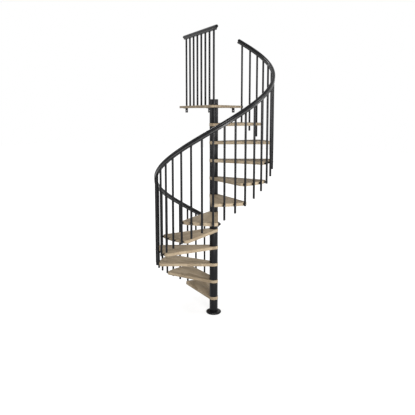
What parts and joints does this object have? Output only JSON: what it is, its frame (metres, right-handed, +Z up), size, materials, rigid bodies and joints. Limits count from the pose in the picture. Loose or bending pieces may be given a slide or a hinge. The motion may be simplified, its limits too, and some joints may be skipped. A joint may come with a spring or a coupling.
{
  "type": "spiral staircase",
  "caption": "Spiral staircase of wooden wedge treads on a black central pole, with balusters along the tread edges, a helical handrail and a triangular landing with a straight guard.",
  "frame": {"origin": "on the floor, at the axis of the central pole", "axes": "+Z up along the pole, +Y from the pole to the upper floor, square to the landing's far edge, +X along that edge"},
  "size_m": [1.6832, 1.5763, 3.847],
  "materials": {
    "black_steel": "satin black powder coat",
    "stave_wood": "oiled stave wood",
    "rail_plastic": "satin black plastic"
  },
  "bodies": {
    "root": {"base_flange": "black_steel", "column": "black_steel", "spacer_sleeves": "black_steel", "top_sleeve": "black_steel", "pole_cap": "black_steel", "balusters_01": "black_steel", "balusters_02": "black_steel", "balusters_03": "black_steel", "balusters_04": "black_steel", "balusters_05": "black_steel", "balusters_06": "black_steel", "balusters_07": "black_steel", "balusters_08": "black_steel", "balusters_09": "black_steel", "balusters_10": "black_steel", "balusters_11": "black_steel", "bosses_01": "black_steel", "bosses_02": "black_steel", "bosses_03": "black_steel", "bosses_04": "black_steel", "bosses_05": "black_steel", "bosses_06": "black_steel", "bosses_07": "black_steel", "bosses_08": "black_steel", "bosses_09": "black_steel", "bosses_10": "black_steel", "bosses_11": "black_steel", "landing_angles": "black_steel", "landing_baluster_bracket": "black_steel", "guard_balusters": "black_steel", "tread_01": "stave_wood", "tread_02": "stave_wood", "tread_03": "stave_wood", "tread_04": "stave_wood", "tread_05": "stave_wood", "tread_06": "stave_wood", "tread_07": "stave_wood", "tread_08": "stave_wood", "tread_09": "stave_wood", "tread_10": "stave_wood", "tread_11": "stave_wood", "landing_board": "stave_wood", "handrail": "rail_plastic", "guard_rail": "rail_plastic", "rail_end_caps": "rail_plastic"}
  },
  "joints": []
}
